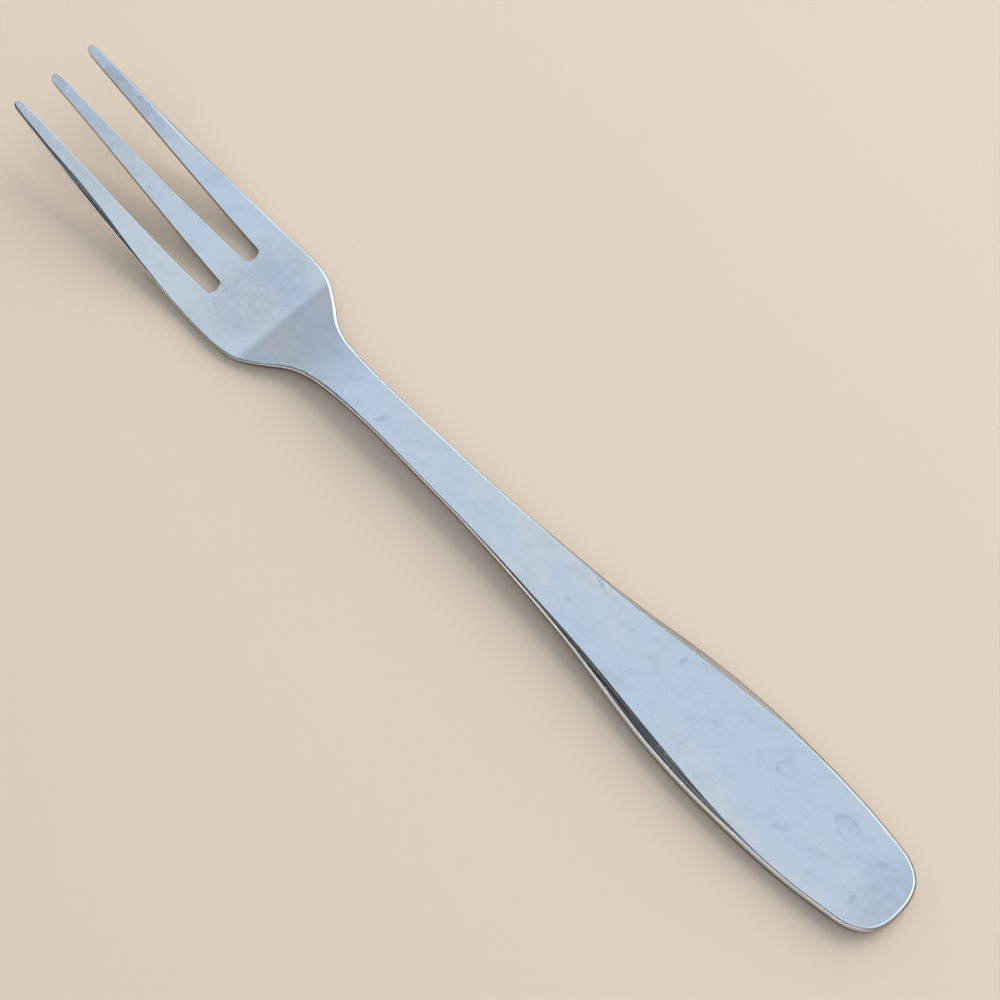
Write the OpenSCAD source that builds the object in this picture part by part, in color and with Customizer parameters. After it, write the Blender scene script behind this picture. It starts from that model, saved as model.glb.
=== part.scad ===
// Pastry fork: three tines, head, neck and handle in one strip of stainless steel.
// The fork lies along X with its tips at -X and the end of its handle at +X. It is face up, Z = 0 is
// the table, and the origin is on the table under the middle of its length. It is symmetric about Y = 0.

/* [Fork] */
// Whole length, from the tips of the tines to the end of the handle
fork_l = 150; // [130:1:175]

/* [Tines] */
// Length of the slots between the tines, from the tips to the roots
slot_l = 34.8; // [28:0.1:38]
// Width across the tips of the two outer tines
tips_w = 13.7; // [12.5:0.1:15]
// Width of the middle tine at its root
mid_root_w = 4.5; // [3.8:0.1:5]
// Width of the middle tine at its tip
mid_tip_w = 1.35; // [0.8:0.05:1.8]
// Width of each outer tine at its root
side_root_w = 4.3; // [3.6:0.1:4.6]
// Width of each outer tine at its tip
side_tip_w = 1.3; // [0.8:0.05:1.6]
// Thickness of the tines at their tips
tip_t = 1; // [0.8:0.05:1.3]
// Length over which each tip is rounded
tip_round_l = 0.7; // [0.3:0.05:1]
// Radius in the corners of a slot's root
slot_corner_r = 0.8; // [0.3:0.05:1]
// Height of the underside of the tips above the table
tip_lift = 8.8; // [5:0.2:12]
// How much higher the outer tines stand than the middle one
dish_h = 0.45; // [0.1:0.05:0.8]

/* [Head] */
// Width of the head where it is widest
head_w = 17.65; // [16.5:0.05:19]
// Thickness of the head
head_t = 1.4; // [1.1:0.05:1.8]
// Distance from the tips to the widest place of the head
head_wide_l = 39.9; // [36:0.1:42]
// Distance from the tips to the flat heel that the head rests on
heel_place_l = 37.9; // [34:0.1:40]
// Length of the flat heel
heel_l = 6.3; // [3:0.1:8]
// Length over which the head narrows to the neck
shoulder_l = 23.8; // [18:0.1:28]

/* [Neck] */
// Width of the neck where it is narrowest
neck_w = 5.55; // [4.5:0.05:7]
// Thickness of the neck
neck_t = 2.1; // [1.8:0.05:2.8]
// Height of the neck's underside above the table
neck_lift = 1.7; // [1:0.1:2.5]

/* [Handle] */
// Width of the handle where it is widest
handle_w = 14.85; // [12:0.05:18]
// Distance from the end of the handle back to its widest place
handle_wide_l = 24.8; // [20:0.1:32]
// Thickness of the handle where it is thickest
handle_t = 2.8; // [2.4:0.05:3.6]
// Thickness of the handle at its end
end_t = 2.1; // [1.5:0.05:2.3]
// Width of the handle where the round of its end starts
end_w = 12.3; // [10:0.1:14]
// Length of the round of the handle's end
end_round_l = 6; // [4:0.25:8]

/* [Edges] */
// Width of the ground shoulder beside the top face, where it is widest
shoulder_w = 0.9; // [0.5:0.05:1.1]
// Depth of the ground shoulder, where it is deepest
shoulder_drop = 0.8; // [0.5:0.05:1.2]
// How far the side spreads out below the shoulder, where it spreads most
flare_w = 0.4; // [0.2:0.05:0.6]
// Depth of that spread, where it spreads most
flare_drop = 0.5; // [0.3:0.05:0.9]
// Width of the rounded edge of the underside
under_edge_w = 0.35; // [0.2:0.05:0.5]

/* [Hidden] */

// Places along the length
tip_x = -fork_l / 2;
end_x = fork_l / 2;
root_x = tip_x + slot_l;
wide_x = tip_x + head_wide_l;
heel_x = tip_x + heel_place_l;
rise_x = heel_x + heel_l;
neck_x = wide_x + shoulder_l;
handle_x = end_x - handle_wide_l;
round_x = end_x - end_round_l;

// How a width or thickness runs between two of its sizes: 1 is a straight run
tine_side_power = 1.4;
mid_taper_power = 1.3;
side_taper_power = 0.88;
// Squareness of the end of the handle, where 2 is an ellipse
end_power = 2.4;

// Each table pairs a share of a run along the fork with a share of the size that changes over it.
// Rise of the tines' underside, from the heel to the tips
tine_rise_shares = [[0, 0], [0.11, 0.017], [0.22, 0.083], [0.46, 0.33], [0.73, 0.68], [1, 1]];
// Width that is left of the head over its narrowing to the neck
narrow_shares = [[0, 1], [0.09, 0.975], [0.17, 0.885], [0.3, 0.59], [0.42, 0.275], [0.54, 0.11],
                 [0.67, 0.045], [0.82, 0.015], [1, 0]];
// Width of the handle, from the neck to its widest place
swell_shares = [[0, 0], [0.2, 0.045], [0.35, 0.13], [0.55, 0.34], [0.65, 0.51], [0.75, 0.72],
                [0.84, 0.885], [0.93, 0.975], [1, 1]];
// Width of the handle, from its widest place to the round of its end
close_shares = [[0, 1], [0.25, 0.94], [0.55, 0.77], [0.85, 0.36], [1, 0]];
// Height of the handle's underside, from the neck to the end
belly_shares = [[0, 1], [0.25, 0.84], [0.48, 0.5], [0.63, 0.17], [0.76, 0.03], [0.84, 0.02], [1, 0.3]];
// Thickness from the neck to the handle's thickest place
thicken_shares = [[0, 0], [0.5, 0], [0.75, 0.28], [0.9, 0.8], [1, 1]];
// Thickness from the handle's thickest place to its end
thin_shares = [[0, 1], [0.18, 0.85], [0.38, 0.5], [0.55, 0.28], [1, 0]];
// Where along the handle it is thickest, as a share of the run from the neck to the end
thick_place_share = 0.63;
// The tables of the edge pair a share of a run with shares of the shoulder's width, of its depth and of
// the side's spread. Over the outer tines, from the tips to the widest place of the head
tine_edge_shares = [[0, [0.2, 0.2, 0.35]], [0.1, [0.24, 0.26, 0.35]], [0.22, [0.38, 0.42, 0.38]],
                    [0.38, [0.68, 0.72, 0.4]], [0.5, [0.5, 0.55, 0.4]], [0.58, [0.26, 0.28, 0.38]],
                    [0.7, [0.2, 0.17, 0.3]], [1, [0.2, 0.13, 0.15]]];
// The same from the head's widest place to the neck
head_edge_shares = [[0, [0.2, 0.13, 0.15]], [0.1, [0.25, 0.16, 0.15]], [0.25, [0.34, 0.22, 0.25]],
                    [0.42, [0.34, 0.22, 0.35]], [0.6, [0.28, 0.18, 0.35]], [0.78, [0.24, 0.14, 0.35]],
                    [1, [0.22, 0.13, 0.35]]];
// The same from the neck to the end of the handle
handle_edge_shares = [[0, [0.22, 0.13, 0.35]], [0.2, [0.2, 0.13, 0.4]], [0.36, [0.3, 0.3, 0.55]],
                      [0.5, [0.78, 0.78, 0.9]], [0.57, [0.96, 0.96, 1]], [0.61, [1, 1, 1]],
                      [0.66, [0.9, 0.9, 1]], [0.72, [0.5, 0.5, 1]], [0.79, [0.24, 0.24, 1]],
                      [0.86, [0.2, 0.14, 1]], [1, [0.2, 0.13, 0.9]]];
// Greatest share of the thickness that the shoulder may take
shoulder_depth_share = 0.75;
// Greatest share of what is left below the shoulder that the spread may take
flare_depth_share = 0.9;
// Share of the thickness that the rounded edge of the underside takes
under_edge_share = 0.25;

// How finely the surface is divided
tine_steps = 14;
head_steps = 20;
handle_steps = 26;
end_steps = 9;
cross_steps = 8;
slot_steps = 12;
round_steps = 6;

// A smooth curve through a table's points, with a slope at each from its neighbours
function slope(keys, i) =
    i == 0 ? (keys[1][1] - keys[0][1]) / (keys[1][0] - keys[0][0])
    : i == len(keys) - 1 ? (keys[i][1] - keys[i - 1][1]) / (keys[i][0] - keys[i - 1][0])
    : (keys[i + 1][1] - keys[i - 1][1]) / (keys[i + 1][0] - keys[i - 1][0]);
function bend(keys, i, s) =
    let (
        run = keys[i + 1][0] - keys[i][0],
        t = (s - keys[i][0]) / run
    )
    keys[i][1] * (1 + 2 * t) * pow(1 - t, 2)
    + keys[i + 1][1] * t * t * (3 - 2 * t)
    + run * slope(keys, i) * t * pow(1 - t, 2)
    - run * slope(keys, i + 1) * t * t * (1 - t);
function curve(keys, s, i = 0) =
    s <= keys[0][0] ? keys[0][1]
    : i >= len(keys) - 1 ? keys[len(keys) - 1][1]
    : s <= keys[i + 1][0] ? bend(keys, i, s)
    : curve(keys, s, i + 1);

function share(x, from, to) = min(1, max(0, (x - from) / (to - from)));
function ease(s) = s * s * (3 - 2 * s);
function settle(s) = s * (2 - s);
function mix(a, b, s) = a + (b - a) * s;
function reversed(v) = [for (i = [len(v) - 1:-1:0]) v[i]];

// Half of the outer width at a place along the fork, up to the round of the end
function half_w(x) =
    x < wide_x ? mix(tips_w, head_w, 1 - pow(1 - share(x, tip_x, wide_x), tine_side_power)) / 2
    : x < neck_x ? mix(neck_w, head_w, curve(narrow_shares, share(x, wide_x, neck_x))) / 2
    : x < handle_x ? mix(neck_w, handle_w, curve(swell_shares, share(x, neck_x, handle_x))) / 2
    : mix(end_w, handle_w, curve(close_shares, share(x, handle_x, round_x))) / 2;

// Height of the underside and thickness of the steel along the middle
function under_z(x) =
    x < heel_x ? tip_lift * curve(tine_rise_shares, share(x, heel_x, tip_x))
    : x < neck_x ? neck_lift * settle(share(x, rise_x, neck_x))
    : neck_lift * curve(belly_shares, share(x, neck_x, end_x));
function handle_share(x) = share(x, neck_x, end_x);
function thick(x) =
    x < wide_x ? mix(tip_t, head_t, share(x, tip_x, heel_x))
    : x < neck_x ? mix(head_t, neck_t, settle(share(x, rise_x, neck_x)))
    : handle_share(x) < thick_place_share
        ? mix(neck_t, handle_t, curve(thicken_shares, handle_share(x) / thick_place_share))
        : mix(end_t, handle_t, curve(thin_shares, share(handle_share(x), thick_place_share, 1)));

// The outer tines stand higher than the middle one, as the head is slightly dished
function dish_z(p) = dish_h * ease(share(p[0], heel_x, (heel_x + tip_x) / 2)) * pow(p[1] / half_w(p[0]), 2);
function raised(p) = [p[0], p[1], p[2] + dish_z(p)];

// Sizes of the ground edge along the fork
function edge(x) =
    x < wide_x ? curve(tine_edge_shares, share(x, tip_x, wide_x))
    : x < neck_x ? curve(head_edge_shares, share(x, wide_x, neck_x))
    : curve(handle_edge_shares, handle_share(x));
function ledge_w(x) = shoulder_w * edge(x)[0];
function ledge_drop(x) = min(shoulder_drop * edge(x)[1], shoulder_depth_share * thick(x));
function spread_w(x) = flare_w * edge(x)[2];

// The outline on the +Y side, from the tips to the middle of the handle's end
function steps_between(from, to, steps) = [for (i = [0:steps - 1]) mix(from, to, i / steps)];
side_places = concat(
    steps_between(tip_x, heel_x, tine_steps),
    steps_between(heel_x, neck_x, head_steps),
    steps_between(neck_x, round_x, handle_steps)
);
function end_point(a) = [
    round_x + end_round_l * pow(sin(a), 2 / end_power),
    end_w / 2 * pow(cos(a), 2 / end_power)
];
side = concat(
    [for (x = side_places) [x, half_w(x)]],
    [for (i = [0:end_steps - 1]) end_point(90 * ease(i / end_steps))]
);
last = len(side) - 1;
function unit(v) = v / norm(v);
function outward(i) =
    i == 0 ? [0, 1]
    : i == last ? [1, 0]
    : let (along = unit(side[i + 1] - side[i - 1])) [-along[1], along[0]];
function inset(i, w) = side[i] - w * outward(i);

// Heights on the side: where the shoulder ends, where the spread ends, and where the under edge starts
function top_z(x) = under_z(x) + thick(x);
function ledge_z(x) = top_z(x) - ledge_drop(x);
function foot_z(x) = under_z(x) + under_edge_share * thick(x);
function flare_depth(x) = min(flare_drop * edge(x)[2], flare_depth_share * (ledge_z(x) - foot_z(x)));
function brim_z(x) = ledge_z(x) - flare_depth(x);

// One closed ring of points round the fork for each point of the outline
function mirrored(p) = [p[0], -p[1], p[2]];
function ring(i) =
    let (
        x = side[i][0],
        y = side[i][1],
        top = inset(i, spread_w(x) + ledge_w(x)),
        ledge = inset(i, spread_w(x)),
        low = inset(i, under_edge_w),
        flank = [[ledge[0], ledge[1], ledge_z(ledge[0])], [x, y, brim_z(x)], [x, y, foot_z(x)]]
    )
    concat(
        [for (j = [0:cross_steps]) [top[0], top[1] * (2 * j / cross_steps - 1), top_z(top[0])]],
        flank,
        [for (j = [0:cross_steps]) [low[0], low[1] * (1 - 2 * j / cross_steps), under_z(low[0])]],
        [for (p = reversed(flank)) mirrored(p)]
    );
flank_n = 3;
ring_n = 2 * (cross_steps + 1 + flank_n);
top_right = cross_steps;
low_right = top_right + flank_n + 1;
low_left = low_right + cross_steps;

// The whole blank before the slots are punched
module blank() {
    points = [for (i = [0:last]) each [for (p = ring(i)) raised(p)]];
    walls = [
        for (i = [0:last - 1], j = [0:ring_n - 1])
            let (
                a = i * ring_n + j,
                b = i * ring_n + (j + 1) % ring_n
            )
            each [[a, a + ring_n, b], [b, a + ring_n, b + ring_n]]
    ];
    tip_face = [for (j = [0:ring_n - 1]) j];
    n = last * ring_n;
    end_faces = concat(
        [[n + ring_n - 1, n + top_right + 1, for (j = [top_right:-1:0]) n + j]],
        [for (k = [1:flank_n - 1])
            [n + ring_n - 1 - k, n + top_right + 1 + k, n + top_right + k, n + ring_n - k]],
        [[for (j = [low_left + 1:-1:low_right - 1]) n + j]]
    );
    polyhedron(points, concat(walls, [tip_face], end_faces));
}

// Half width of the middle tine, and place of the inner edge of an outer tine
function to_tip(x) = share(x, root_x, tip_x);
function mid_edge(x) = mix(mid_tip_w, mid_root_w, pow(1 - to_tip(x), mid_taper_power)) / 2;
function side_edge(x) = half_w(x) - mix(side_tip_w, side_root_w, pow(1 - to_tip(x), side_taper_power));

// One slot with its rounded root, and the round of the tips on its two sides
over = 1;
slot_places = [for (i = [0:slot_steps - 1]) mix(root_x - slot_corner_r, tip_x + tip_round_l, i / slot_steps)];
tip_middle = half_w(tip_x) - side_tip_w / 2;
function corner(x, y, from, to) = [
    for (i = [1:round_steps])
        let (a = mix(from, to, i / round_steps))
        [x + slot_corner_r * cos(a), y + slot_corner_r * sin(a)]
];
function tip_arc(y, to_y) = [
    for (i = [0:round_steps])
        let (a = 90 * i / round_steps)
        [tip_x + tip_round_l * (1 - cos(a)), mix(y, to_y, sin(a))]
];
module slot() {
    corner_x = root_x - slot_corner_r;
    polygon(concat(
        [[tip_x - over, 0]],
        tip_arc(0, mid_edge(tip_x + tip_round_l)),
        reversed([for (x = slot_places) [x, mid_edge(x)]]),
        corner(corner_x, mid_edge(corner_x) + slot_corner_r, -90, 0),
        corner(corner_x, side_edge(corner_x) - slot_corner_r, 0, 90),
        [for (x = slot_places) if (x < corner_x) [x, side_edge(x)]],
        reversed(tip_arc(tip_middle, side_edge(tip_x + tip_round_l))),
        [[tip_x - over, tip_middle]]
    ));
}

// The outer corner that is rounded off each outer tine
module tip_corner() {
    side_out = half_w(tip_x + tip_round_l);
    polygon(concat(
        [[tip_x - over, tip_middle]],
        tip_arc(tip_middle, side_out),
        [[tip_x + tip_round_l, side_out + over], [tip_x - over, side_out + over]]
    ));
}

module fork() {
    color("silver")
    difference() {
        blank();
        for (m = [0, 1]) mirror([0, m, 0])
        translate([0, 0, -over]) linear_extrude(tip_lift + tip_t + dish_h + 2 * over) {
            slot();
            tip_corner();
        }
    }
}

fork();
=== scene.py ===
"""A pastry fork of polished stainless steel, in one piece, on a pale floor in a soft studio.

The fork lies along X with its tips at -X and the end of its handle at +X. It is face up, and Z = 0 is
the floor. Its sizes are in millimetres here, and become metres where a point goes to Blender.
"""

import logging
import math
from dataclasses import dataclass, field
from enum import Enum
from functools import reduce
from typing import Callable, ClassVar, Sequence

import bmesh
import bpy
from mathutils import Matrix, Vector


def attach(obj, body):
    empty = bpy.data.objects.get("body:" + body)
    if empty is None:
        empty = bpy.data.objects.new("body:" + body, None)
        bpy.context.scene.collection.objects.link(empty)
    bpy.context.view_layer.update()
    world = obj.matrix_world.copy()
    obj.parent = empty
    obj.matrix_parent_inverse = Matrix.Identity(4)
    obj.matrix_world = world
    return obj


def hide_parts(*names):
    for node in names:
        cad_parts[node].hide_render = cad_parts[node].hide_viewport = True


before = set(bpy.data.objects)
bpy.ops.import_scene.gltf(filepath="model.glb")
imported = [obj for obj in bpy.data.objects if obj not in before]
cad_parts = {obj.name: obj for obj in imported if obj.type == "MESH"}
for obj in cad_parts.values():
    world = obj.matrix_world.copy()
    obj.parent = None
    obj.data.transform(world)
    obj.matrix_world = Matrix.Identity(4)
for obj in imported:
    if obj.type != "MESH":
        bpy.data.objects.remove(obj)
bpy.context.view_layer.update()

MM = 0.001
# Points of the cage closer than this, in millimetres, are one point
WELD = 0.002
# Digits to which places in metres are compared
DIGITS = 7
# So long a size, in millimetres, that a pattern or a mark doesn't change along it
FLAT = 1000.0
# Angle from the start of the handle's round to the middle of its end, in degrees
QUARTER = 90.0
# Order of the shares in a table of the edge
WIDTH, DROP, SPREAD = range(3)
log = logging.getLogger("pastry_fork")

Shares = Sequence[tuple[float, float]]
EdgeShares = Sequence[tuple[float, Vector]]
# Where a change starts and ends
Band = tuple[float, float]
# Where a change starts and ends, and the values before and after it
Fade = tuple[float, float, float, float]


def share(x: float, start: float, end: float) -> float:
    """How far x is on its way from start to end, from 0 to 1."""
    return min(1.0, max(0.0, (x - start) / (end - start)))


def ease(s: float) -> float:
    """A share that starts and stops gently."""
    return s * s * (3 - 2 * s)


def settle(s: float) -> float:
    """A share that starts at once and stops gently."""
    return s * (2 - s)


def mix(a: float, b: float, s: float) -> float:
    """The value a share s of the way from a to b."""
    return a + (b - a) * s


def curve(keys: Shares | EdgeShares, s: float) -> float | Vector:
    """A smooth curve through a table's points.

    Args:
        keys: pairs of a share along a run and a share of the size that changes over it, or of three sizes.
        s: the place along the run.

    Returns:
        The share of the size, or of the sizes, at s.
    """
    def slope(i: int) -> float | Vector:
        """Slope at a key, from its neighbours."""
        a, b = max(i - 1, 0), min(i + 1, len(keys) - 1)
        return (keys[b][1] - keys[a][1]) / (keys[b][0] - keys[a][0])

    if s <= keys[0][0]:
        return keys[0][1]
    for i in range(len(keys) - 1):
        (x0, y0), (x1, y1) = keys[i], keys[i + 1]
        if s <= x1:
            run = x1 - x0
            t = (s - x0) / run
            rest = 1 - t
            return (
                y0 * ((1 + 2 * t) * rest * rest) + y1 * (t * t * (3 - 2 * t))
                + slope(i) * (run * t * rest * rest) - slope(i + 1) * (run * t * t * rest)
            )
    return keys[-1][1]


def edges(*rows: tuple[float, float, float, float]) -> EdgeShares:
    """A table of the edge along a run.

    Args:
        rows: a place along the run, then the shares of the shoulder's width, of its drop and of the spread.

    Returns:
        The place and the three shares of each row.
    """
    return [(place, Vector(shares)) for place, *shares in rows]


@dataclass
class ForkSizes:
    """Sizes of the fork in millimetres, and the runs between them."""

    length: float = 150
    slot_l: float = 34.8
    tips_w: float = 13.7
    mid_root_w: float = 4.5
    mid_tip_w: float = 1.35
    side_root_w: float = 4.3
    side_tip_w: float = 1.3
    tip_t: float = 1.0
    tip_lift: float = 8.8
    dish_h: float = 0.45
    head_w: float = 17.65
    head_t: float = 1.4
    head_wide_l: float = 39.9
    heel_place_l: float = 37.9
    heel_l: float = 6.3
    shoulder_l: float = 23.8
    neck_w: float = 5.55
    neck_t: float = 2.1
    neck_lift: float = 1.7
    handle_w: float = 14.85
    handle_wide_l: float = 24.8
    handle_t: float = 2.8
    end_t: float = 2.1
    end_w: float = 12.3
    end_round_l: float = 6
    shoulder_w: float = 0.9
    shoulder_drop: float = 0.8
    flare_w: float = 0.4
    flare_drop: float = 0.5
    under_edge_w: float = 0.35
    # How a width runs between two of its sizes: 1 is a straight run
    tine_side_power: float = 1.4
    mid_taper_power: float = 1.3
    side_taper_power: float = 0.88
    # Squareness of the end of the handle, where 2 is an ellipse
    end_power: float = 2.4
    # Where along the handle it is thickest, and the greatest shares of the thickness for the edge's parts
    thick_place_share: float = 0.63
    shoulder_depth_share: float = 0.75
    flare_depth_share: float = 0.9
    under_edge_share: float = 0.25
    # Each table pairs a share of a run along the fork with a share of the size that changes over it
    tine_rise_shares: Shares = ((0, 0), (0.11, 0.017), (0.22, 0.083), (0.46, 0.33), (0.73, 0.68), (1, 1))
    narrow_shares: Shares = (
        (0, 1), (0.09, 0.975), (0.17, 0.885), (0.3, 0.59), (0.42, 0.275), (0.54, 0.11),
        (0.67, 0.045), (0.82, 0.015), (1, 0),
    )
    swell_shares: Shares = (
        (0, 0), (0.2, 0.045), (0.35, 0.13), (0.55, 0.34), (0.65, 0.51), (0.75, 0.72),
        (0.84, 0.885), (0.93, 0.975), (1, 1),
    )
    close_shares: Shares = ((0, 1), (0.25, 0.94), (0.55, 0.77), (0.85, 0.36), (1, 0))
    belly_shares: Shares = (
        (0, 1), (0.25, 0.84), (0.48, 0.5), (0.63, 0.17), (0.76, 0.03), (0.84, 0.02), (1, 0.3),
    )
    thicken_shares: Shares = ((0, 0), (0.5, 0), (0.75, 0.28), (0.9, 0.8), (1, 1))
    thin_shares: Shares = ((0, 1), (0.18, 0.85), (0.38, 0.5), (0.55, 0.28), (1, 0))
    tine_edge_shares: EdgeShares = field(default_factory=lambda: edges(
        (0, 0.2, 0.2, 0.35), (0.1, 0.24, 0.26, 0.35), (0.22, 0.38, 0.42, 0.38), (0.38, 0.68, 0.72, 0.4),
        (0.5, 0.5, 0.55, 0.4), (0.58, 0.26, 0.28, 0.38), (0.7, 0.2, 0.17, 0.3), (1, 0.2, 0.13, 0.15),
    ))
    head_edge_shares: EdgeShares = field(default_factory=lambda: edges(
        (0, 0.2, 0.13, 0.15), (0.1, 0.25, 0.16, 0.15), (0.25, 0.34, 0.22, 0.25),
        (0.42, 0.34, 0.22, 0.35), (0.6, 0.28, 0.18, 0.35), (0.78, 0.24, 0.14, 0.35),
        (1, 0.22, 0.13, 0.35),
    ))
    handle_edge_shares: EdgeShares = field(default_factory=lambda: edges(
        (0, 0.22, 0.13, 0.35), (0.2, 0.2, 0.13, 0.4), (0.36, 0.3, 0.3, 0.55), (0.5, 0.78, 0.78, 0.9),
        (0.57, 0.96, 0.96, 1), (0.61, 1, 1, 1), (0.66, 0.9, 0.9, 1), (0.72, 0.5, 0.5, 1),
        (0.79, 0.24, 0.24, 1), (0.86, 0.2, 0.14, 1), (1, 0.2, 0.13, 0.9),
    ))

    def __post_init__(self) -> None:
        """Works out the places along X that the sizes give."""
        self.tip_x = -self.length / 2
        self.end_x = self.length / 2
        self.root_x = self.tip_x + self.slot_l
        self.wide_x = self.tip_x + self.head_wide_l
        self.heel_x = self.tip_x + self.heel_place_l
        self.rise_x = self.heel_x + self.heel_l
        self.neck_x = self.wide_x + self.shoulder_l
        self.handle_x = self.end_x - self.handle_wide_l
        self.round_x = self.end_x - self.end_round_l

    def half_w(self, x: float) -> float:
        """Half of the outer width at x, up to the round of the end.

        Args:
            x: place along X, in millimetres.

        Returns:
            The half width in millimetres.
        """
        if x < self.wide_x:
            s = 1 - (1 - share(x, self.tip_x, self.wide_x)) ** self.tine_side_power
            return mix(self.tips_w, self.head_w, s) / 2
        if x < self.neck_x:
            s = curve(self.narrow_shares, share(x, self.wide_x, self.neck_x))
            return mix(self.neck_w, self.head_w, s) / 2
        if x < self.handle_x:
            s = curve(self.swell_shares, share(x, self.neck_x, self.handle_x))
            return mix(self.neck_w, self.handle_w, s) / 2
        s = curve(self.close_shares, share(x, self.handle_x, self.round_x))
        return mix(self.end_w, self.handle_w, s) / 2

    def handle_share(self, x: float) -> float:
        """Place of x on the run from the neck to the end."""
        return share(x, self.neck_x, self.end_x)

    def under_z(self, x: float) -> float:
        """Height of the underside along the middle.

        Args:
            x: place along X, in millimetres.

        Returns:
            The height in millimetres.
        """
        if x < self.heel_x:
            return self.tip_lift * curve(self.tine_rise_shares, share(x, self.heel_x, self.tip_x))
        if x < self.neck_x:
            return self.neck_lift * settle(share(x, self.rise_x, self.neck_x))
        return self.neck_lift * curve(self.belly_shares, self.handle_share(x))

    def thick(self, x: float) -> float:
        """Thickness of the steel along the middle.

        Args:
            x: place along X, in millimetres.

        Returns:
            The thickness in millimetres.
        """
        if x < self.wide_x:
            return mix(self.tip_t, self.head_t, share(x, self.tip_x, self.heel_x))
        if x < self.neck_x:
            return mix(self.head_t, self.neck_t, settle(share(x, self.rise_x, self.neck_x)))
        s = self.handle_share(x)
        if s < self.thick_place_share:
            return mix(self.neck_t, self.handle_t, curve(self.thicken_shares, s / self.thick_place_share))
        return mix(self.end_t, self.handle_t, curve(self.thin_shares, share(s, self.thick_place_share, 1)))

    def top_z(self, x: float) -> float:
        """Height of the top face along the middle."""
        return self.under_z(x) + self.thick(x)

    def dish(self, x: float, y: float) -> float:
        """How much higher than the middle the steel stands at a point of the tines."""
        s = ease(share(x, self.heel_x, (self.heel_x + self.tip_x) / 2))
        return self.dish_h * s * (y / self.half_w(x)) ** 2

    def edge(self, x: float) -> Vector:
        """Shares of the shoulder's width, its drop and the spread of the side at x.

        Args:
            x: place along X, in millimetres.

        Returns:
            The three shares, in the order of WIDTH, DROP and SPREAD.
        """
        if x < self.wide_x:
            return curve(self.tine_edge_shares, share(x, self.tip_x, self.wide_x))
        if x < self.neck_x:
            return curve(self.head_edge_shares, share(x, self.wide_x, self.neck_x))
        return curve(self.handle_edge_shares, self.handle_share(x))

    def ledge_w(self, x: float) -> float:
        """Width of the ground shoulder."""
        return self.shoulder_w * self.edge(x)[WIDTH]

    def spread_w(self, x: float) -> float:
        """How far the side spreads out below the shoulder."""
        return self.flare_w * self.edge(x)[SPREAD]

    def ledge_z(self, x: float) -> float:
        """Height at which the shoulder ends."""
        most = self.shoulder_depth_share * self.thick(x)
        return self.top_z(x) - min(self.shoulder_drop * self.edge(x)[DROP], most)

    def foot_z(self, x: float) -> float:
        """Height at which the round of the underside starts."""
        return self.under_z(x) + self.under_edge_share * self.thick(x)

    def brim_z(self, x: float) -> float:
        """Height at which the spread of the side ends."""
        most = self.flare_depth_share * (self.ledge_z(x) - self.foot_z(x))
        return self.ledge_z(x) - min(self.flare_drop * self.edge(x)[SPREAD], most)

    def mid_edge(self, x: float) -> float:
        """Half of the width of the middle tine."""
        s = (1 - share(x, self.root_x, self.tip_x)) ** self.mid_taper_power
        return mix(self.mid_tip_w, self.mid_root_w, s) / 2

    def side_edge(self, x: float) -> float:
        """Place of the inner edge of an outer tine."""
        s = (1 - share(x, self.root_x, self.tip_x)) ** self.side_taper_power
        return self.half_w(x) - mix(self.side_tip_w, self.side_root_w, s)


class Level(Enum):
    """Lines round the edge of the steel, from the top face down to the underside."""

    TOP = "top"
    LEDGE = "ledge"
    BRIM = "brim"
    FOOT = "foot"
    UNDER = "under"


class EdgeMark(Enum):
    """Marks on lines of edges, which tell them apart until each gets its bevel."""

    SEAM = "seam"
    SHARP = "sharp"


class Surface(Enum):
    """Surfaces of the steel, by the number of their material slot."""

    FACES = 0
    SHOULDER = 1
    SIDE = 2
    WALLS = 3


@dataclass(frozen=True)
class Row:
    """A row of the cage across the fork.

    It has its place along X, how far it is on its way to the round of the handle's end, and how far
    the corners of the tips are pulled in on it.
    """

    x: float
    turn: float = 0
    pull: float = 0


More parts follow.
